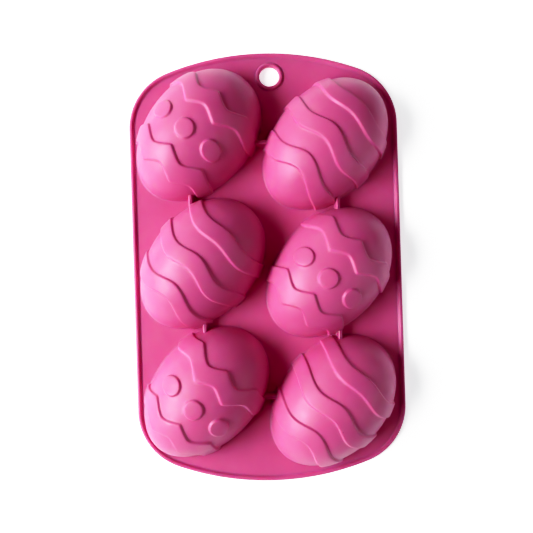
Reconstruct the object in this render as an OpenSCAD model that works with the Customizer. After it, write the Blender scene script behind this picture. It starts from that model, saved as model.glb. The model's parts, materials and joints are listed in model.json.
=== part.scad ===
// Silicone soap mould with six half-egg cavities, lying mouth down with its domes up.
// +X runs across the two columns of cups, +Y along them towards the hang hole, and +Z up
// through the domes. The origin is the middle of the footprint, on the flat resting face.
// The real mould is one moulding. Each node is one region of it, and they meet face to face.

/* [Plate] */
// Width of the plate, across the two columns
plate_w = 175.5; // [175:0.5:182]
// Length of the plate, along the columns
plate_l = 280; // [278:1:290]
// Radius of the bowed ends
end_r = 178; // [165:1:200]
// Radius of the four corners
corner_r = 39; // [34:1:42]
// Thickness of the flat sheet
sheet_t = 1.6; // [1.2:0.1:2.4]

/* [Lip] */
// Width of the lip around the plate
lip_w = 2.8; // [2.2:0.1:2.8]
// Height of the lip above the resting face
lip_h = 3; // [2.6:0.1:4]
// Width taken off each side of the lip's crown
lip_ease = 0.8; // [0.2:0.1:0.9]

/* [Hang hole] */
// Bore of the hang hole
hole_d = 13; // [10:0.5:14]
// Outside of the raised ring around it
eyelet_d = 17.6; // [17:0.2:19]
// Height of that ring above the resting face
eyelet_h = 3; // [2.6:0.1:4]
// Distance of the hole from the middle of the width
hole_x = 5; // [0:0.5:6]
// Distance of the hole from the middle of the length
hole_y = 124.6; // [124:0.1:126]

/* [Cups] */
// Half the length of an egg, outside
egg_a = 47.8; // [47:0.1:48]
// Half the width of an egg, outside, which is also its height
egg_b = 34.1; // [33.5:0.1:34.3]
// How much fuller the blunt end is than the other
egg_k = 0.045; // [0:0.005:0.1]
// Angle of an egg's long axis above +X
egg_tilt = 47; // [46:0.5:48]
// Thickness of a cup's wall
wall = 1.8; // [1.6:0.1:2.4]
// Half the distance between the two columns
column_x = 41.2; // [41:0.1:41.4]
// Distance between neighbours in a column
pitch = 83.5; // [83:0.1:84]
// How far the left column is set up and the right one down
stagger = 4.1; // [3.8:0.1:4.4]
// The group's place, to the side of the plate's middle
group_x = -1.4; // [-1.6:0.1:-1.2]
// The group's place, along the plate from its middle
group_y = -1.1; // [-1.5:0.1:-0.5]

/* [Relief] */
// How far the bands and dots stand out of an egg
relief_h = 1.4; // [0.8:0.1:1.4]
// How much a band is narrower at each side in the cavity than outside
relief_inset = 1.1; // [0.8:0.1:1.4]
// Width of a zigzag band, along the egg
zigzag_w = 11; // [10:0.1:13]
// Half a period of the zigzag, across the egg
zigzag_half = 10.6; // [10:0.1:11]
// Depth of the zigzag, along the egg
zigzag_swing = 6.8; // [5:0.1:8]
// Width of a wavy band, along the egg
wave_w = 10.1; // [9:0.1:12]
// Length of one wave, across the egg
wave_len = 36; // [32:1:38]
// How much a wavy band leans along the egg, per unit across it
wave_lean = 0.1; // [0:0.01:0.15]
// Diameter of a dot
dot_d = 11.5; // [10:0.1:12]
// Distance between the dots, across the egg
dot_gap = 19; // [17:0.1:20]
// Place of the middle dot along the egg
dot_u = -6.1; // [-7:0.1:-5]
// How far the outer dots are set along the egg from the middle one
dot_bow = 0.8; // [0:0.1:1.5]
// How far the zigzag bands and the dots are set across the egg
zigzag_shift = 0.4; // [0:0.1:1]

/* [Ribs] */
// Thickness of the ribs between the cups
rib_t = 2.6; // [2:0.1:3]
// Height of the ribs above the resting face
rib_h = 9; // [6:0.5:14]

/* [Hidden] */

silicone = [0.86, 0.33, 0.58];
silicone_deep = [0.74, 0.22, 0.46];

LEFT = -1;
RIGHT = 1;
// Zigzag bands are [place along the egg, bow]. Wavy bands are [place, swing, place of the crest
// across the egg, bow].
ZIGZAGS = [[18.5, 0.0045], [-23.5, 0.003]];
WAVES = [[19.2, 1.5, -3, 0.0053], [-3.9, 2.3, -0.5, 0.0028], [-26, 2.5, -0.3, 0]];

profile_step = 7.5;  // degrees from one point of an egg's profile to the next
arc_step = 3;        // degrees from one point of the plate's outline to the next
wave_step = 3.4;     // distance from one point of a wave to the next
round_fn = 96;
reach = 42.4;        // half the width of a band's outline, past the side of an egg
rib_reach = 15;      // half the length of a rib, before the cups cut it
slack = 1;           // how far a cutting solid runs past what it cuts

// The outline: straight sides, ends bowed to end_r and corners tangent to both.

function arc(centre, r, from, to) =
    let (n = ceil(abs(to - from) / arc_step))
    [for (i = [0:n]) let (t = from + (to - from) * i / n) centre + r * [cos(t), sin(t)]];

module outline(inset) {
    big = end_r - inset;
    small = corner_r - inset;
    end = [0, plate_l / 2 - end_r];
    corner_x = plate_w / 2 - corner_r;
    turn = acos(corner_x / (end_r - corner_r));
    corner = [corner_x, end[1] + (end_r - corner_r) * sin(turn)];
    polygon(concat(
        arc(corner, small, 0, turn),
        arc(end, big, turn, 180 - turn),
        arc([-corner[0], corner[1]], small, 180 - turn, 180),
        arc(-corner, small, 180, 180 + turn),
        arc(-end, big, 180 + turn, 360 - turn),
        arc([corner[0], -corner[1]], small, 360 - turn, 360)
    ));
}

// An egg lies along +X with its blunt end forward and its middle on the resting face.

function egg_point(f, grow) = [
    (egg_b + grow) * sin(f) * (1 + egg_k * cos(f)),
    (egg_a + grow) * cos(f)
];

module egg(grow) {
    rotate([0, 90, 0])
        rotate_extrude($fn = round_fn)
            polygon([for (f = [0:profile_step:180]) egg_point(f, grow)]);
}

module band(middle, width) {
    polygon(concat(
        [for (p = middle) p + [width / 2, 0]],
        [for (i = [len(middle) - 1:-1:0]) middle[i] - [width / 2, 0]]
    ));
}

function zigzag_middle(place, bow) =
    [for (i = [-4:4]) let (v = i * zigzag_half)
        [place + bow * v * v - zigzag_swing * (abs(i) % 2), v]];

function wave_middle(place, swing, crest, bow) =
    [for (v = [-reach:wave_step:reach])
        let (wave = swing * cos(360 * (v - crest) / wave_len))
            [place + wave_lean * v + wave + bow * v * v, v]];

module zigzag_bands(inset) {
    for (z = ZIGZAGS) band(zigzag_middle(z[0], z[1]), zigzag_w - 2 * inset);
}

module wave_bands(inset) {
    for (w = WAVES) band(wave_middle(w[0], w[1], w[2], w[3]), wave_w - 2 * inset);
}

module dots(inset) {
    for (side = [-1:1])
        translate([dot_u + dot_bow * abs(side), dot_gap * side])
            circle(d = dot_d - 2 * inset, $fn = round_fn / 2);
}

module relief(style, inset) {
    if (style == "wave") {
        wave_bands(inset);
    } else {
        translate([0, zigzag_shift]) {
            zigzag_bands(inset);
            dots(inset);
        }
    }
}

// An egg with its bands and dots raised. The whole solid, for a wall's face on either side.

module decorated_egg(style, grow, inset) {
    egg(grow);
    intersection() {
        egg(grow + relief_h);
        linear_extrude(height = egg_b + 2 * relief_h) relief(style, inset);
    }
}

// The six cups, as [side, row, style]. Row 1 is nearest the hang hole.

TOP_LEFT = [LEFT, 1, "zigzag"];
TOP_RIGHT = [RIGHT, 1, "wave"];
MIDDLE_LEFT = [LEFT, 0, "wave"];
MIDDLE_RIGHT = [RIGHT, 0, "zigzag"];
BOTTOM_LEFT = [LEFT, -1, "zigzag"];
BOTTOM_RIGHT = [RIGHT, -1, "wave"];
CUPS = [TOP_LEFT, TOP_RIGHT, MIDDLE_LEFT, MIDDLE_RIGHT, BOTTOM_LEFT, BOTTOM_RIGHT];

function cup_place(cup) = [
    group_x + cup[0] * column_x,
    group_y + cup[1] * pitch - cup[0] * stagger
];

module outside_of(cup) {
    translate(cup_place(cup)) rotate(egg_tilt) decorated_egg(cup[2], 0, 0);
}

module cavity_of(cup) {
    translate(cup_place(cup)) rotate(egg_tilt) decorated_egg(cup[2], -wall, relief_inset);
}

module cup(cup) {
    side = 2 * (egg_a + relief_h + slack);
    color(silicone)
        difference() {
            outside_of(cup);
            cavity_of(cup);
            translate(concat(cup_place(cup) - [side, side] / 2, sheet_t - side))
                cube(side);
        }
}

module rib(at, size, between) {
    color(silicone_deep)
        difference() {
            translate(concat(at - size / 2, sheet_t))
                cube(concat(size, rib_h - sheet_t));
            for (cup = between) outside_of(cup);
        }
}

module column_rib(at, between) {
    rib(at, [rib_t, 2 * rib_reach], between);
}

module cross_rib(at, between) {
    rib(at, [2 * rib_reach, rib_t], between);
}

module flange_sheet() {
    color(silicone_deep)
        difference() {
            linear_extrude(height = sheet_t)
                difference() {
                    outline(lip_w);
                    translate([hole_x, hole_y]) circle(d = eyelet_d, $fn = round_fn);
                }
            for (cup = CUPS) cavity_of(cup);
        }
}

module lip_ring(inner, outer, low, high) {
    translate([0, 0, low])
        linear_extrude(height = high - low)
            difference() {
                outline(outer);
                outline(inner);
            }
}

module rim_lip() {
    color(silicone) {
        lip_ring(lip_w, 0, 0, lip_h - lip_ease);
        lip_ring(lip_w - lip_ease, lip_ease, lip_h - lip_ease, lip_h);
    }
}

module hang_eyelet() {
    color(silicone)
        translate([hole_x, hole_y])
            difference() {
                cylinder(d = eyelet_d, h = eyelet_h, $fn = round_fn);
                translate([0, 0, -slack])
                    cylinder(d = hole_d, h = eyelet_h + 2 * slack, $fn = round_fn);
            }
}

flange_sheet();
rim_lip();
hang_eyelet();
cup(TOP_LEFT);  // cup_top_left
cup(TOP_RIGHT);  // cup_top_right
cup(MIDDLE_LEFT);  // cup_middle_left
cup(MIDDLE_RIGHT);  // cup_middle_right
cup(BOTTOM_LEFT);  // cup_bottom_left
cup(BOTTOM_RIGHT);  // cup_bottom_right
column_rib([-48.3, 42], [TOP_LEFT, MIDDLE_LEFT]);  // rib_left_upper
column_rib([-41.5, -38], [MIDDLE_LEFT, BOTTOM_LEFT]);  // rib_left_lower
column_rib([46.5, 37.5], [TOP_RIGHT, MIDDLE_RIGHT]);  // rib_right_upper
column_rib([45.4, -46], [MIDDLE_RIGHT, BOTTOM_RIGHT]);  // rib_right_lower
cross_rib([-2, 80], [TOP_LEFT, TOP_RIGHT]);  // rib_cross_top
cross_rib([-2, -84], [BOTTOM_LEFT, BOTTOM_RIGHT]);  // rib_cross_bottom
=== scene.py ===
"""The looks of a silicone egg mould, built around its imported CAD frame.

Shapes are worked out in millimetres, in the frame's own axes, and become metres when a mesh is made.
Each piece stands for the CAD node of the same name. A cup is a closed shell: an outer skin and a
cavity skin with raised bands and dots, joined by a fillet on the sheet and a rounded mouth below it.
"""

import json
from math import acos, ceil, cos, pi, radians, sin, sqrt

import bpy
import numpy as np
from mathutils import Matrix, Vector
from mathutils.geometry import delaunay_2d_cdt
from mathutils.kdtree import KDTree


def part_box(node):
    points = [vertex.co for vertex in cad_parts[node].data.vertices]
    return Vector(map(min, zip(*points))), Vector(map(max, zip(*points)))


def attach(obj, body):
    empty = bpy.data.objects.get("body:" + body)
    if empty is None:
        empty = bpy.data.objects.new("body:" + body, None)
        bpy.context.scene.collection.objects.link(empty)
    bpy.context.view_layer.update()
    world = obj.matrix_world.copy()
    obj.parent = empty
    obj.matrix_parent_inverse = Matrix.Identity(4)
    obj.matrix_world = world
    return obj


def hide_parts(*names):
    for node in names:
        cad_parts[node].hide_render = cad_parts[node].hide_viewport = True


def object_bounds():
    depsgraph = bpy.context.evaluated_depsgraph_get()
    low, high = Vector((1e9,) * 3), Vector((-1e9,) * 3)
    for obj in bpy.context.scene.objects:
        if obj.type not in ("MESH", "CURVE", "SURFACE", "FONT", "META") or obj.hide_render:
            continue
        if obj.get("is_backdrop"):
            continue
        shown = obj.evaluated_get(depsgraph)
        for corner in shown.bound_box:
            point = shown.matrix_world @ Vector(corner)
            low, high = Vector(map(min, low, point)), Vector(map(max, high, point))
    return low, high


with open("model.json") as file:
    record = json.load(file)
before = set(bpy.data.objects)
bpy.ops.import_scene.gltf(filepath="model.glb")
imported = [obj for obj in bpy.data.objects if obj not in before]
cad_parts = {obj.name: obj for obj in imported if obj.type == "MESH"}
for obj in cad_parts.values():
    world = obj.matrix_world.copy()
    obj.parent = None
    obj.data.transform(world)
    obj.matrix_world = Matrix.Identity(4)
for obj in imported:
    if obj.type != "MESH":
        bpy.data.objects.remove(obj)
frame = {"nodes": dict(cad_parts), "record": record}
cad_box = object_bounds()

MM = 0.001

# Eggs. The long axis of each lies along its own +u, with the blunt end forward, and v goes across.
EGG_A = 47.8  # half the length of the outer skin
EGG_B = 34.1  # half its width
EGG_K = 0.045  # how much fuller the blunt end is
EGG_TILT = radians(47)  # from +X to +u
WALL = 1.8

# Relief. Bands and dots stand out of both skins, and are narrower in the cavity.
RELIEF = 1.35
RELIEF_INSET = 1.1
STEP_FOOT = -0.85  # where a step's fillet begins, outside a band's edge
STEP_TOP = 0.65  # where it is full, inside the edge
ZIGZAGS = [(18.5, 0.0045), (-23.5, 0.003)]  # place along the egg, bow
ZIGZAG_WIDTH = 11.0
ZIGZAG_HALF = 10.6  # half a period, across the egg
ZIGZAG_SWING = 6.8
ZIGZAG_SHIFT = 0.4  # of bands and dots, across the egg
CORNER_SHARP = 0.7  # rounding of a band's outward corners
CORNER_SOFT = 2.6  # and of its inward ones
WAVES = [
    # Place along the egg, swing, place of the crest across it, bow
    (19.2, 1.5, -3.0, 0.0053),
    (-3.9, 2.3, -0.5, 0.0028),
    (-26.0, 2.5, -0.3, 0.0),
]
WAVE_WIDTH = 10.1
WAVE_LENGTH = 36.0
WAVE_LEAN = 0.1
DOT_R = 5.75
DOT_U = -6.1
DOT_GAP = 19.0
DOT_BOW = 0.8  # how far the outer dots are set along the egg

# Edges and fillets.
CUP_FILLET = 1.0
MOUTH_ROUND = 0.5
SUNK = 0.3  # how deep a foot goes into the sheet
PROUD = 0.015  # how far a fillet's thin edge stays above the sheet
LIP_SEAM = 1.4  # where lip and sheet part on the underside
END_R = 178.0
CORNER_R = 39.0
LIP_BOTTOM = 0.6  # rounding of the lip's lower outer edge
LIP_SWEEP = radians(60)  # where the lip's crown turns into its fillet
EYELET_TOP = 1.0  # rounding of the eyelet's upper edges
EYELET_BOTTOM = 0.3  # and of the hole's lower edge
EYELET_FILLET = 0.8
RIB_CROWN = 0.85  # rounding of a rib's top, in half thicknesses
RIB_FOOT = 1.0  # how far its foot flares
HOLE_R = frame["record"]["mounts"][1]["dims"]["r_mm"]
BOX_GAP = 0.02  # how far the outline stays inside the CAD box

# Mesh spacing.
RIM_STEPS = 720
EDGE_STEP = 0.1  # along a relief edge, for measuring distances to it
ROW_STEP = 0.45  # along a row of points beside an edge
ROWS = 7  # rows over the width of a step
ROW_SLACK = 0.06  # how much nearer to another edge a row's point may be
POINT_GAP = 0.14  # least distance between points of rows
FIELD_STEP = 1.3
FIELD_GAP = 0.55  # from the outermost row to the field
ROW_MARGIN = 0.25  # from the rim to the rows
FIELD_MARGIN = 0.5  # from the rim to the field
SHEET_STEP = 5.0
RIB_STATIONS = 9
RIB_STEP = 0.05  # how finely a rib's end feels for a cup

# Silicone.
PINK = (0.62, 0.145, 0.302)
PINK_DEEP = (0.59, 0.131, 0.283)
SPECK = (0.20, 0.01, 0.05)
MOTTLE_SCALE = 38
SPECK_SCALE = 95.0
SPECK_SIZE = (0.018, 0.034)  # where a speck begins to fade, and where it ends, in its cell's widths
SPECK_SHARE = (0.80, 0.9)  # which cells have one, by their own random value
ROUGHNESS = (0.42, 0.51)
ROUGHNESS_SCALE = 140
SCATTER = 0.6
SCATTER_RADIUS = (1.0, 0.1, 0.4)
SCATTER_SCALE = 0.0024
GRAIN_SCALE = 1500
GRAIN_DEPTH = 0.00012
RIPPLE_SCALE = 45
RIPPLE_DEPTH = 0.0012

# Camera, in metres and degrees. It looks straight down.
CAMERA_PLACE = (-0.007, -0.0142, 0.325)
CAMERA_LENS = 33.3
CAMERA_SHIFT = (0.017, 0.042)
CAMERA_ROLL = -1.785

# Lights, in metres and watts: name, place, size, power.
LIGHT_AIM = (0, 0, 0.02)
LIGHTS = [
    ("window", (-1.15, -0.12, 0.8), (1.2, 0.5), 45),
    ("corner", (-0.65, 1.14, 0.48), (0.5, 0.5), 4),
    ("wall", (1.25, -0.3, 0.62), (1.4, 0.8), 7),
]
AMBIENT = 0.055
FLOOR_HALF = 3.0
FLOOR_Z = -0.0003
FLOOR_GLOW = 0.7

# Print: the brightness that shows as white, what each channel loses at black, and (in, out) points.
PRINT_WHITE = 1.6
PRINT_BLACK = (0, 0.023, 0.006)
PRINT_CURVE = [(0.1, 0.04), (0.3, 0.205), (0.6, 0.5), (0.8, 0.7), (1.0, 0.84), (1.3, 0.96)]
RED_CURVE = [(0.08, 0.105), (0.2, 0.2)]  # lifts the red of the shadows

STYLES = {
    "cup_top_left": "zigzag",
    "cup_top_right": "wave",
    "cup_middle_left": "wave",
    "cup_middle_right": "zigzag",
    "cup_bottom_left": "zigzag",
    "cup_bottom_right": "wave",
}


def box_mm(node):
    low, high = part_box(node)
    return np.array(low) / MM, np.array(high) / MM


SHEET_T = box_mm("flange_sheet")[1][2]


# ---------------------------------------------------------------- meshes


class Shell:
    """Points and faces of one piece, gathered ring by ring."""

    def __init__(self):
        self.points = []
        self.faces = []
        self.count = 0

    def add(self, points):
        self.points.append(np.asarray(points, float))
        start = self.count
        self.count += len(points)
        return np.arange(start, self.count)

    def triangles(self, index, tris, flip=False):
        for t in tris:
            corners = [int(index[i]) for i in t]
            self.faces.append(corners[::-1] if flip else corners)

    def strip(self, one, two, closed=True):
        """Quads between two rings of as many points. They face left of one's direction, seen from two."""
        n = len(one)
        for i in range(n if closed else n - 1):
            j = (i + 1) % n
            self.faces.append([int(one[i]), int(one[j]), int(two[j]), int(two[i])])

    def loft(self, rings, closed=True):
        added = [self.add(r) for r in rings]
        for one, two in zip(added, added[1:]):
            self.strip(one, two, closed)
        return added

    def object(self, name, sharp=35):
        mesh = bpy.data.meshes.new(name)
        mesh.from_pydata((np.vstack(self.points) * MM).tolist(), [], self.faces)
        mesh.validate()
        mesh.shade_smooth()
        mesh.set_sharp_from_angle(angle=radians(sharp))
        piece = bpy.data.objects.new(name, mesh)
        bpy.context.collection.objects.link(piece)
        return piece


def finish_piece(piece, node, material):
    piece.data.materials.append(material)
    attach(piece, "root")
    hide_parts(node)
    return piece


def triangulate(points, loops=()):
    """Delaunay triangles of plan points. loops are closed runs of their indices, kept as edges."""
    edges = [(int(i), int(j)) for run in loops for i, j in zip(run, np.roll(run, -1))]
    found = delaunay_2d_cdt([Vector(p) for p in points], edges, [], 0, 1e-7, False)
    tris = np.array([f[:] if len(f) == 3 else f[:3] for f in found[2]], int)
    return np.array([v[:] for v in found[0]]), tris


def inside_loop(points, loop):
    """Which of the points lie inside a closed loop, by the crossings of a ray along +x."""
    x, y = points[:, 0][:, None], points[:, 1][:, None]
    x0, y0 = loop[:, 0], loop[:, 1]
    x1, y1 = np.roll(x0, -1), np.roll(y0, -1)
    spans = (y0 <= y) != (y1 <= y)
    rise = np.where(y1 == y0, 1.0, y1 - y0)
    crossings = spans & (x < x0 + (y - y0) * (x1 - x0) / rise)
    return crossings.sum(1) % 2 == 1


def quarter(steps=6):
    """(1 - sin, 1 - cos) of a quarter turn, for a fillet or a rounded edge."""
    return [(1 - sin(t), 1 - cos(t)) for t in np.linspace(0, pi / 2, steps + 1)]


# ---------------------------------------------------------------- egg skins


class Egg:
    """A half egg of revolution, grown by a distance. It is the unit hemisphere (x, y, z), stretched.

    The flat map of it keeps directions from the crest and lengths along the skin.
    """

    def __init__(self, grow):
        self.a, self.b = EGG_A + grow, EGG_B + grow

    def skin(self, ball):
        x, y, z = ball.T
        girth = self.b * (1 + EGG_K * x)
        return np.stack([self.a * x, girth * y, girth * z], 1)

    def normals(self, ball):
        x, y, z = ball.T
        girth = 1 + EGG_K * x
        along = (x - (1 - x * x) * EGG_K / girth) / self.a
        n = np.stack([along, y / (self.b * girth), z / (self.b * girth)], 1)
        return n / np.linalg.norm(n, axis=1)[:, None]

    def ball_of_plan(self, plan):
        x = plan[:, 0] / self.a
        return np.stack([x, plan[:, 1] / (self.b * (1 + EGG_K * x))], 1)

    def flat_of_plan(self, plan, rim):
        """Plan to flat map. Past the rim, an angle from the crest, the map goes on straight out."""
        ball = self.ball_of_plan(plan)
        w = np.maximum(np.hypot(*ball.T), 1e-9)
        edge = sin(rim)
        angle = np.where(w < edge, np.arcsin(np.minimum(w, 1)), rim + (w - edge) / cos(rim))
        return ball * (angle / w)[:, None] * [self.a, self.b]

    def ball_of_flat(self, flat):
        across = flat / [self.a, self.b]
        angle = np.maximum(np.hypot(*across.T), 1e-9)
        return np.column_stack([across * (np.sin(angle) / angle)[:, None], np.cos(angle)])


def zigzag(v, peak_round, valley_round):
    """A zigzag with a peak at v = 0. Its peaks and valleys have their own rounding."""
    phase = np.abs((v / ZIGZAG_HALF + 1) % 2 - 1) * ZIGZAG_HALF
    half = ZIGZAG_HALF / 2
    slope = ZIGZAG_SWING / ZIGZAG_HALF
    down = np.hypot(phase, peak_round) - sqrt(half**2 + peak_round**2)
    up = np.hypot(ZIGZAG_HALF - phase, valley_round) - sqrt(half**2 + valley_round**2)
    return slope * (np.where(phase < half, -down, up) - half)


def zigzag_edges(place, bow, inset):
    """The lower and upper edge of a zigzag band, each a function of v."""

    def lower(v):
        across = v - ZIGZAG_SHIFT
        middle = place + bow * across**2 + zigzag(across, CORNER_SOFT, CORNER_SHARP)
        return middle - ZIGZAG_WIDTH / 2 + inset

    def upper(v):
        across = v - ZIGZAG_SHIFT
        middle = place + bow * across**2 + zigzag(across, CORNER_SHARP, CORNER_SOFT)
        return middle + ZIGZAG_WIDTH / 2 - inset

    return lower, upper


def wave_edges(place, swing, crest, bow, inset):
    """The lower and upper edge of a wavy band, each a function of v."""

    def middle(v):
        wave = swing * np.cos(2 * pi * (v - crest) / WAVE_LENGTH)
        return place + WAVE_LEAN * v + wave + bow * v * v

    def lower(v):
        return middle(v) - WAVE_WIDTH / 2 + inset

    def upper(v):
        return middle(v) + WAVE_WIDTH / 2 - inset

    return lower, upper


class Relief:
    """The raised bands and dots of a style, in plan, for one skin."""

    def __init__(self, style, inset):
        self.dots = []
        if style == "wave":
            self.bands = [wave_edges(*w, inset) for w in WAVES]
        else:
            self.bands = [zigzag_edges(*z, inset) for z in ZIGZAGS]
            self.dots = [
                np.array([DOT_U + DOT_BOW * abs(side), ZIGZAG_SHIFT + DOT_GAP * side])
                for side in (-1, 0, 1)
            ]
        self.dot_r = DOT_R - inset

    def edges(self):
        """Every edge as a fine plan line, with the raised side on its left."""
        v = np.arange(-EGG_B - 2, EGG_B + 2, 0.05)
        for lower, upper in self.bands:
            yield np.stack([lower(-v), -v], 1)
            yield np.stack([upper(v), v], 1)
        turn = np.linspace(0, 2 * pi, 720)
        for dot in self.dots:
            yield dot + self.dot_r * np.stack([np.cos(turn), np.sin(turn)], 1)

    def raised(self, plan):
        """Whether plan points lie on a band or a dot."""
        u, v = plan.T
        on = np.zeros(len(plan), bool)
        for lower, upper in self.bands:
            on |= (u > lower(v)) & (u < upper(v))
        for dot in self.dots:
            on |= np.hypot(*(plan - dot).T) < self.dot_r
        return on


def resample(line, step):
    """Points at even distances along a line."""
    run = np.concatenate([[0], np.cumsum(np.hypot(*np.diff(line, axis=0).T))])
    at = np.linspace(0, run[-1], max(2, ceil(run[-1] / step)))
    return np.stack([np.interp(at, run, line[:, i]) for i in (0, 1)], 1)


def step_height(distance):
    """Height of a relief step, 0 to 1, by distance inside its edge."""
    t = np.clip((distance - STEP_FOOT) / (STEP_TOP - STEP_FOOT), 0, 1)
    return t * t * (3 - 2 * t)


def near(tree, points):
    return np.array([tree.find((p[0], p[1], 0))[2] for p in points])


def tree_of(points):
    tree = KDTree(len(points))
    for i, p in enumerate(points):
        tree.insert((p[0], p[1], 0), i)
    tree.balance()
    return tree


def thinned(points, heights, least):
    """Drops a point that shares its small square with an earlier one."""
    cells = np.floor(points / least).astype(int)
    keep = np.unique(cells, axis=0, return_index=True)[1]
    keep.sort()
    return points[keep], heights[keep]


def hexagonal(width, height, step):
    """A field of points in rows that are set off by half a step."""
    rows = np.arange(-height, height, step * sqrt(3) / 2)
    return np.array(
        [(x + (i % 2) * step / 2, y) for i, y in enumerate(rows) for x in np.arange(-width, width, step)]
    )


def egg_skin(style, grow, inset, base):
    """One skin of a cup: its points, its triangles and its rim, with base the height of the rim.

    Rows of points follow each relief edge, an even field fills the rest, and both are joined on
    the flat map.
    """
    egg, relief = Egg(grow), Relief(style, inset)
    rim_angle = acos(base / egg.b)
    lines = [egg.flat_of_plan(line, rim_angle) for line in relief.edges()]
    tree = tree_of(np.vstack([resample(line, EDGE_STEP) for line in lines]))

    turn = np.linspace(0, 2 * pi, RIM_STEPS, endpoint=False)
    rim = rim_angle * np.stack([egg.a * np.cos(turn), egg.b * np.sin(turn)], 1)

    def inner(points, margin):
        return np.hypot(*(points / [egg.a, egg.b]).T) < rim_angle - margin / egg.b

    rows, row_heights = [], []
    for line in lines:
        line = resample(line, ROW_STEP)
        ahead = np.gradient(line, axis=0)
        left = np.stack([-ahead[:, 1], ahead[:, 0]], 1) / np.hypot(*ahead.T)[:, None]
        for offset in np.linspace(STEP_FOOT, STEP_TOP, ROWS):
            row = line + offset * left
            row = row[inner(row, ROW_MARGIN)]
            row = row[near(tree, row) > abs(offset) - ROW_SLACK]
            rows.append(row)
            row_heights.append(np.full(len(row), step_height(offset)))
    rows, row_heights = thinned(np.vstack(rows), np.concatenate(row_heights), POINT_GAP)

    field = hexagonal(egg.a * rim_angle, egg.b * rim_angle, FIELD_STEP)
    field = field[inner(field, FIELD_MARGIN)]
    field = field[near(tree, field) > FIELD_GAP - STEP_FOOT]

    rest = np.vstack([rim, field])
    plan = egg.skin(egg.ball_of_flat(rest))[:, :2]
    inward = np.where(relief.raised(plan), 1, -1) * near(tree, rest)
    flat = np.vstack([rest, rows])
    heights = RELIEF * np.concatenate([step_height(inward), row_heights])

    flat, tris = triangulate(flat)
    ball = egg.ball_of_flat(flat)
    points = egg.skin(ball) + heights[:, None] * egg.normals(ball)
    return points, tris, heights[:RIM_STEPS], egg.normals(ball[:RIM_STEPS])


def level(normals):
    """Normals turned level, for working outwards along the sheet."""
    flat = normals * [1, 1, 0]
    return flat / np.linalg.norm(flat, axis=1)[:, None]


def ring_at(points, outward, distance, height):
    ring = points + distance * outward
    ring[:, 2] = height
    return ring


def cup_shell(style):
    """A cup at its own place, with its long axis along +u, and its seam with the sheet."""
    outer, outer_tris, raised, normals = egg_skin(style, 0, 0, SHEET_T + CUP_FILLET)
    cavity, cavity_tris, _, cavity_normals = egg_skin(style, -WALL, RELIEF_INSET, MOUTH_ROUND)
    shell = Shell()

    skin = shell.add(outer)
    shell.triangles(skin, outer_tris)
    rim, out = outer[:RIM_STEPS], level(normals)
    rise = rim[:, 2] - SHEET_T - PROUD
    rings = []
    for up, away in quarter()[1:]:
        ring = rim + (CUP_FILLET * away) * out
        ring[:, 2] = SHEET_T + PROUD + rise * up
        rings.append(ring)
    foot = rings[-1]
    seam = ring_at(rim, out, -WALL / 2, SHEET_T - SUNK)
    rings += [ring_at(foot, out, 0, SHEET_T - SUNK), seam, ring_at(seam, out, 0, 0)]
    mouth, mouth_out = cavity[:RIM_STEPS], level(cavity_normals)
    for up, away in reversed(quarter()[1:]):
        ring = mouth + (MOUTH_ROUND * away) * mouth_out
        ring[:, 2] = mouth[:, 2] * up
        rings.append(ring)
    added = shell.loft(rings)
    shell.strip(skin[:RIM_STEPS], added[0])
    hollow = shell.add(cavity)
    shell.triangles(hollow, cavity_tris, flip=True)
    shell.strip(added[-1], hollow[:RIM_STEPS])
    return shell, seam[:, :2]


def tilted(points):
    """From an egg's own axes to the frame's."""
    u, v = points[:, 0], points[:, 1]
    x = u * cos(EGG_TILT) - v * sin(EGG_TILT)
    y = u * sin(EGG_TILT) + v * cos(EGG_TILT)
    return np.column_stack([x, y, *points[:, 2:].T])


def middle_of(points):
    return (points[:, :2].min(0) + points[:, :2].max(0)) / 2


# ---------------------------------------------------------------- the plate's outline


class Outline:
    """The plate's outline: straight sides, ends bowed to END_R, corners tangent to both."""

    def __init__(self, width, length):
        end = np.array([0, length / 2 - END_R])
        corner_x = width / 2 - CORNER_R
        turn = acos(corner_x / (END_R - CORNER_R))
        corner = np.array([corner_x, end[1] + (END_R - CORNER_R) * sin(turn)])
        mirror = np.array([-1, 1])
        points, normals = [], []

        def arc(centre, radius, start, stop, steps):
            t = np.linspace(start, stop, steps, endpoint=False)
            out = np.stack([np.cos(t), np.sin(t)], 1)
            points.append(centre + radius * out)
            normals.append(out)

        def side(x, start, stop, steps):
            y = np.linspace(start, stop, steps, endpoint=False)
            points.append(np.stack([np.full(steps, x), y], 1))
            normals.append(np.tile([np.sign(x), 0.0], (steps, 1)))

        side(width / 2, -corner[1], corner[1], 120)
        arc(corner, CORNER_R, 0, turn, 56)
        arc(end, END_R, turn, pi - turn, 120)
        arc(corner * mirror, CORNER_R, pi - turn, pi, 56)
        side(-width / 2, corner[1], -corner[1], 120)
        arc(-corner, CORNER_R, pi, pi + turn, 56)
        arc(-end, END_R, pi + turn, 2 * pi - turn, 120)
        arc(-corner * mirror, CORNER_R, 2 * pi - turn, 2 * pi, 56)
        self.points, self.normals = np.vstack(points), np.vstack(normals)

    def ring(self, inset, height):
        plan = self.points - inset * self.normals
        return np.column_stack([plan, np.full(len(plan), height)])


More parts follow.
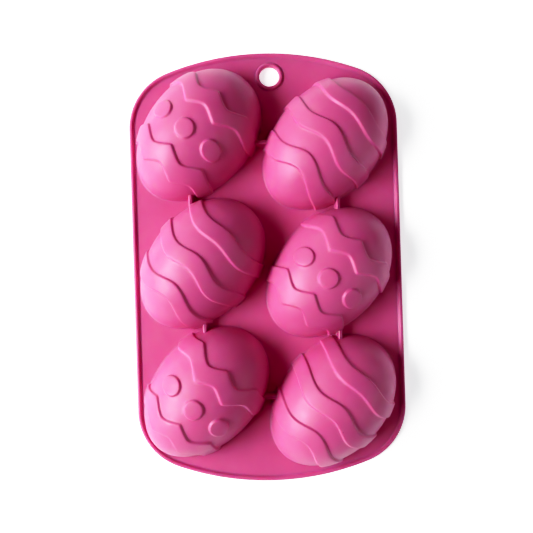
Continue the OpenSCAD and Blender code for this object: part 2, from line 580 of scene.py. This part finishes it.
def lip_piece(outline, height):
    """The lip: upright outside, with a half-round crown that sweeps down to the sheet inside."""
    crown = height - SHEET_T
    sweep = (crown * cos(LIP_SWEEP) - PROUD) / (1 - cos(LIP_SWEEP))
    foot = crown + (crown + sweep) * sin(LIP_SWEEP)
    section = [(LIP_SEAM, 0.0)]
    section += [(LIP_BOTTOM * a, LIP_BOTTOM * b) for b, a in reversed(quarter())]
    for t in np.linspace(-pi / 2, LIP_SWEEP, 16):
        section.append((crown * (1 + sin(t)), SHEET_T + crown * cos(t)))
    for t in np.linspace(LIP_SWEEP, 0, 8)[1:]:
        section.append((foot - sweep * sin(t), SHEET_T + PROUD + sweep * (1 - cos(t))))
    section += [(foot, SHEET_T - SUNK), (LIP_SEAM, SHEET_T - SUNK)]
    shell = Shell()
    rings = shell.loft([outline.ring(inset, z) for inset, z in section])
    shell.strip(rings[-1], rings[0])
    return shell.object("rim_lip")


def circle_ring(centre, radius, height, steps=160):
    t = np.linspace(0, 2 * pi, steps, endpoint=False)
    return np.column_stack(
        [centre[0] + radius * np.cos(t), centre[1] + radius * np.sin(t), np.full(steps, height)]
    )


def eyelet_piece(centre, outside, height):
    """The ring round the hang hole, rounded above and filleted onto the sheet."""
    top, low, fillet = EYELET_TOP, EYELET_BOTTOM, EYELET_FILLET
    seam = (HOLE_R + outside) / 2
    section = [(seam, 0.0)]
    section += [(HOLE_R + low * a, low * b) for b, a in reversed(quarter())]
    section += [(HOLE_R + top * a, height - top * b) for b, a in quarter()]
    section += [(outside - top * a, height - top * b) for b, a in reversed(quarter())]
    section += [(outside + fillet * b, SHEET_T + PROUD + fillet * a) for a, b in quarter()]
    section += [(outside + fillet, SHEET_T - SUNK), (seam, SHEET_T - SUNK)]
    shell = Shell()
    rings = shell.loft([circle_ring(centre, r, z) for r, z in section])
    shell.strip(rings[-1], rings[0])
    return shell.object("hang_eyelet"), circle_ring(centre, seam, 0)[:, :2]


def sheet_piece(outer, holes):
    """The flat sheet, with a hole under each cup and under the eyelet."""
    low, high = outer.min(0), outer.max(0)
    field = hexagonal(*(high + 1), SHEET_STEP)
    keep = inside_loop(field, outer)
    for hole in holes:
        keep &= ~inside_loop(field, hole)
    loops, runs, start = [outer, *holes], [], 0
    for loop in loops:
        runs.append(np.arange(start, start + len(loop)))
        start += len(loop)
    fixed = np.vstack(loops)
    near_loops = tree_of(fixed)
    field = field[keep]
    field = field[near(near_loops, field) > SHEET_STEP / 3]
    plan, tris = triangulate(np.vstack([fixed, field]), runs)
    middles = plan[tris].mean(1)
    kept = inside_loop(middles, outer)
    for hole in holes:
        kept &= ~inside_loop(middles, hole)
    tris = tris[kept]

    shell = Shell()
    top = shell.add(np.column_stack([plan, np.full(len(plan), SHEET_T)]))
    bottom = shell.add(np.column_stack([plan, np.zeros(len(plan))]))
    shell.triangles(top, tris)
    shell.triangles(bottom, tris, flip=True)
    for run in runs:
        shell.strip(bottom[run], top[run])
    return shell.object("flange_sheet")


def rib_piece(name, cups):
    """A web between two cups: a rounded top, a flared foot, and ends that follow the cups' skins."""
    (x0, y0, _), (x1, y1, top) = box_mm(name)
    along = 0 if x1 - x0 > y1 - y0 else 1
    middle = np.array([(x0 + x1) / 2, (y0 + y1) / 2])
    half = ((y1 - y0) if along == 0 else (x1 - x0)) / 2
    crown = RIB_CROWN * half
    side = [(half + RIB_FOOT * b, SHEET_T + PROUD + RIB_FOOT * a) for a, b in reversed(quarter())]
    side += [(half - crown * a, top - crown * b) for b, a in reversed(quarter())]
    section = [(half + RIB_FOOT, SHEET_T - SUNK), *side]
    section += [(-w, z) for w, z in reversed(section)]
    skin = Egg(-WALL / 3)

    def buried(point, cup):
        """Whether a point is inside a cup's outer skin, a third of the wall deep."""
        offset = point[:2] - cup
        u = offset[0] * cos(EGG_TILT) + offset[1] * sin(EGG_TILT)
        v = -offset[0] * sin(EGG_TILT) + offset[1] * cos(EGG_TILT)
        x = u / skin.a
        girth = skin.b * (1 + EGG_K * x)
        return abs(x) < 1 and v * v + point[2] ** 2 < girth**2 * (1 - x * x)

    def end(width, z, way):
        point = np.array([*middle, z])
        point[1 - along] += width
        while not any(buried(point, cup) for cup in cups):
            point[along] += RIB_STEP * way
        return point

    stations = np.linspace(0, 1, RIB_STATIONS)
    starts = np.array([end(w, z, -1) for w, z in section])
    stops = np.array([end(w, z, 1) for w, z in section])
    shell = Shell()
    rings = shell.loft([starts + t * (stops - starts) for t in stations])
    shell.faces.append([int(i) for i in rings[0]][::-1])
    shell.faces.append([int(i) for i in rings[-1]])
    return shell.object(name)


# ---------------------------------------------------------------- material


def silicone():
    """Satin pink silicone: soft scatter, a fine matt grain, faint mottling and a few dark specks."""
    material = bpy.data.materials.new("silicone")
    material.use_nodes = True
    nodes, links = material.node_tree.nodes, material.node_tree.links
    shader = nodes["Principled BSDF"]
    place = nodes.new("ShaderNodeTexCoord").outputs["Object"]

    def node(kind, **values):
        made = nodes.new(kind)
        for key, value in values.items():
            socket = key.replace("_", " ")
            if socket in made.inputs:
                made.inputs[socket].default_value = value
            else:
                setattr(made, key, value)
        return made

    def noise(scale, detail=3.0, roughness=0.5):
        made = node("ShaderNodeTexNoise", Scale=scale, Detail=detail, Roughness=roughness)
        links.new(place, made.inputs["Vector"])
        return made.outputs["Fac"]

    def spread(value, low, high, to_low, to_high):
        made = node("ShaderNodeMapRange", From_Min=low, From_Max=high, To_Min=to_low, To_Max=to_high)
        links.new(value, made.inputs["Value"])
        return made.outputs["Result"]

    def mix(factor, one, two):
        made = node("ShaderNodeMix", data_type="RGBA")
        links.new(factor, made.inputs["Factor"])
        for socket, colour in ((made.inputs["A"], one), (made.inputs["B"], two)):
            if isinstance(colour, tuple):
                socket.default_value = (*colour, 1)
            else:
                links.new(colour, socket)
        return made.outputs["Result"]

    mottled = mix(spread(noise(MOTTLE_SCALE), 0.35, 0.65, 0, 1), PINK, PINK_DEEP)
    specks = node("ShaderNodeTexVoronoi", Scale=SPECK_SCALE, Randomness=1.0)
    links.new(place, specks.inputs["Vector"])
    chosen = node("ShaderNodeSeparateColor")
    links.new(specks.outputs["Color"], chosen.inputs["Color"])
    dark = node("ShaderNodeMath", operation="MULTIPLY")
    links.new(spread(specks.outputs["Distance"], *SPECK_SIZE, 1, 0), dark.inputs[0])
    links.new(spread(chosen.outputs["Red"], *SPECK_SHARE, 0, 0.75), dark.inputs[1])
    links.new(mix(dark.outputs[0], mottled, SPECK), shader.inputs["Base Color"])

    links.new(spread(noise(ROUGHNESS_SCALE, 4), 0.3, 0.7, *ROUGHNESS), shader.inputs["Roughness"])
    grain = node("ShaderNodeBump", Strength=0.25, Distance=GRAIN_DEPTH)
    links.new(noise(GRAIN_SCALE, 2), grain.inputs["Height"])
    ripple = node("ShaderNodeBump", Strength=0.35, Distance=RIPPLE_DEPTH)
    links.new(noise(RIPPLE_SCALE, 2), ripple.inputs["Height"])
    links.new(grain.outputs["Normal"], ripple.inputs["Normal"])
    links.new(ripple.outputs["Normal"], shader.inputs["Normal"])

    shader.inputs["Subsurface Weight"].default_value = SCATTER
    shader.inputs["Subsurface Radius"].default_value = SCATTER_RADIUS
    shader.inputs["Subsurface Scale"].default_value = SCATTER_SCALE
    shader.inputs["IOR"].default_value = 1.5
    shader.inputs["Specular IOR Level"].default_value = 0.5
    return material


# ---------------------------------------------------------------- the mould


def build():
    pink = silicone()
    outer_low, outer_high = box_mm("rim_lip")
    width, length, _ = outer_high - outer_low
    outline = Outline(width - 2 * BOX_GAP, length - 2 * BOX_GAP)
    finish_piece(lip_piece(outline, outer_high[2]), "rim_lip", pink)

    low, high = box_mm("hang_eyelet")
    ring, seam = eyelet_piece((low + high)[:2] / 2, (high - low)[0] / 2, high[2])
    finish_piece(ring, "hang_eyelet", pink)
    holes = [seam]

    shells = {style: cup_shell(style) for style in ("zigzag", "wave")}
    centres = {}
    for name, style in STYLES.items():
        shell, cup_seam = shells[style]
        whole = tilted(np.vstack(shell.points))
        low, high = box_mm(name)
        shift = (low + high)[:2] / 2 - middle_of(whole)
        placed = Shell()
        placed.add(whole + [*shift, 0])
        placed.faces = shell.faces
        finish_piece(placed.object(name), name, pink)
        holes.append(tilted(cup_seam) + shift)
        centres[name] = shift

    finish_piece(sheet_piece(outline.ring(LIP_SEAM, 0)[:, :2], holes), "flange_sheet", pink)
    for rib in [n for n in frame["nodes"] if n.startswith("rib_")]:
        finish_piece(rib_piece(rib, list(centres.values())), rib, pink)


# ---------------------------------------------------------------- camera, lights and floor


def camera():
    """Straight above the mould, a little off its middle, close enough for strong perspective."""
    data = bpy.data.cameras.new("camera")
    data.lens = CAMERA_LENS
    data.shift_x, data.shift_y = CAMERA_SHIFT
    view = bpy.data.objects.new("camera", data)
    view.location = CAMERA_PLACE
    view.rotation_euler = (0, 0, radians(CAMERA_ROLL))
    bpy.context.collection.objects.link(view)
    bpy.context.scene.camera = view


def softbox(name, place, size, power):
    data = bpy.data.lights.new(name, "AREA")
    data.shape = "RECTANGLE"
    data.size, data.size_y = size
    data.energy = power
    light = bpy.data.objects.new(name, data)
    light.location = place
    light.rotation_euler = (Vector(LIGHT_AIM) - Vector(place)).to_track_quat("-Z", "Y").to_euler()
    bpy.context.collection.objects.link(light)


def surroundings():
    floor_data = bpy.data.meshes.new("floor")
    corners = [(x * FLOOR_HALF, y * FLOOR_HALF, FLOOR_Z) for x, y in ((-1, -1), (1, -1), (1, 1), (-1, 1))]
    floor_data.from_pydata(corners, [], [(0, 1, 2, 3)])
    floor = bpy.data.objects.new("floor", floor_data)
    bpy.context.collection.objects.link(floor)
    paper = bpy.data.materials.new("paper")
    paper.use_nodes = True
    shader = paper.node_tree.nodes["Principled BSDF"]
    shader.inputs["Base Color"].default_value = (0.92, 0.92, 0.92, 1)
    shader.inputs["Roughness"].default_value = 0.9
    shader.inputs["Emission Color"].default_value = (1, 1, 1, 1)
    shader.inputs["Emission Strength"].default_value = FLOOR_GLOW
    floor_data.materials.append(paper)
    floor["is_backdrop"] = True
    world = bpy.data.worlds.new("room")
    world.use_nodes = True
    world.node_tree.nodes["Background"].inputs["Color"].default_value = (1, 1, 1, 1)
    world.node_tree.nodes["Background"].inputs["Strength"].default_value = AMBIENT
    bpy.context.scene.world = world
    for light in LIGHTS:
        softbox(*light)
    contrast()


def contrast():
    """A photographic print's curve: a soft toe and a soft shoulder."""
    settings = bpy.context.scene.view_settings
    settings.view_transform = "Standard"
    settings.use_curve_mapping = True
    mapping = settings.curve_mapping
    mapping.white_level = [PRINT_WHITE] * 3
    mapping.black_level = PRINT_BLACK
    points = mapping.curves[3].points
    for value, shown in PRINT_CURVE:
        points.new(value / PRINT_WHITE, shown)
    for value, shown in RED_CURVE:
        mapping.curves[0].points.new(value, shown)
    mapping.update()


camera()
build()
surroundings()

visual_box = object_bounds()
boxes = {"cad_box": cad_box, "visual_box": visual_box}
{key: [list(corner) for corner in pair] for key, pair in boxes.items()}
